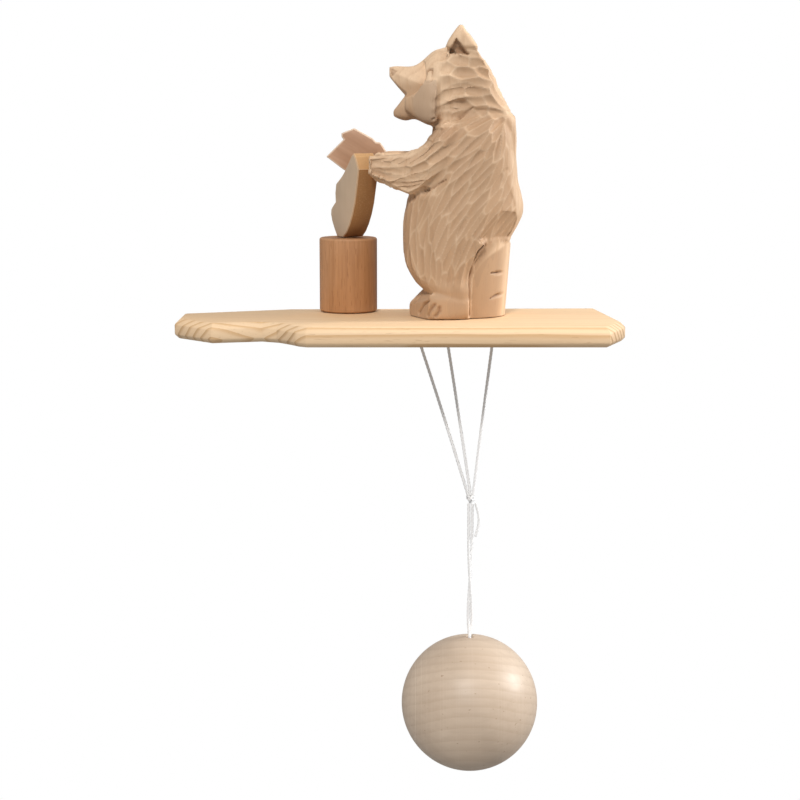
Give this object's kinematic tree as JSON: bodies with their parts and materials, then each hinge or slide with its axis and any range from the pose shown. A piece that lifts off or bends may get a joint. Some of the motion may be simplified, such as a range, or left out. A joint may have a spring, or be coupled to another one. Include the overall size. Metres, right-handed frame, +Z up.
{
  "type": "carved wooden balance toy",
  "caption": "Carved wooden bear seated on a stump, working on a shoe set on a block, on a hand-held board with a hanging ball that swings on strings and moves its hammer arm.",
  "frame": {"origin": "on the underside of the board's narrow handle end, at the middle of a hand's grip, in the plane of the underside", "axes": "+X along the board from the handle end to the far end, so the bear faces -X; +Y to the side of the moving hammer arm; +Z up, from the hanging ball to the bear"},
  "size_m": [0.157, 0.0635, 0.2702],
  "materials": {
    "pine_board": "unfinished planed pine",
    "carved_linden": "unfinished, gouge-carved",
    "red_alder": "turned, unfinished",
    "shoe_linden": "sawn and sanded",
    "hammer_alder": "sawn",
    "pale_birch": "turned, satin",
    "peg_beech": "cut dowel",
    "cotton": "twisted cotton string",
    "steel": "plain nail"
  },
  "bodies": {
    "root": {"board": "pine_board", "bear_figure": "carved_linden", "block": "red_alder", "shoe": "shoe_linden", "shoe_peg": "peg_beech", "block_nail": "steel", "bear_nail_near": "steel", "bear_nail_far": "steel", "arm_pivot_nail": "steel", "pull_string": "cotton", "string_end_front": "cotton", "string_end_middle": "cotton", "string_peg_front": "peg_beech", "string_peg_middle": "peg_beech"},
    "far_arm": {"far_arm": "carved_linden", "hammer": "hammer_alder", "hammer_peg": "peg_beech", "arm_string_knot": "cotton"},
    "string_fan": {"fan_string_front": "cotton", "fan_string_middle": "cotton", "fan_string_rear": "cotton", "fan_knot": "cotton"},
    "ball_pendulum": {"hanging_cord_left": "cotton", "hanging_cord_right": "cotton", "cord_tail": "cotton", "ball": "pale_birch", "ball_knot": "cotton"}
  },
  "joints": [
    {"name": "arm_swing", "type": "hinge", "parent": "root", "child": "far_arm", "pos_m": [0.086, 0.02, 0.0643], "axis": [0, 1, 0], "range_deg": [-10.5, 10.5]},
    {"name": "fan_swing", "type": "hinge", "parent": "root", "child": "string_fan", "pos_m": [0.0856, 0.0075, 0], "axis": [1, 0, 0], "range_deg": [-25, 25]},
    {"name": "ball_swing", "type": "hinge", "parent": "string_fan", "child": "ball_pendulum", "pos_m": [0.0856, 0.0075, -0.0598], "axis": [0, 1, 0], "range_deg": [-30, 30]}
  ],
  "couplings": [
    {"joint": "arm_swing", "follows": "ball_swing", "ratio": 0.35}
  ]
}
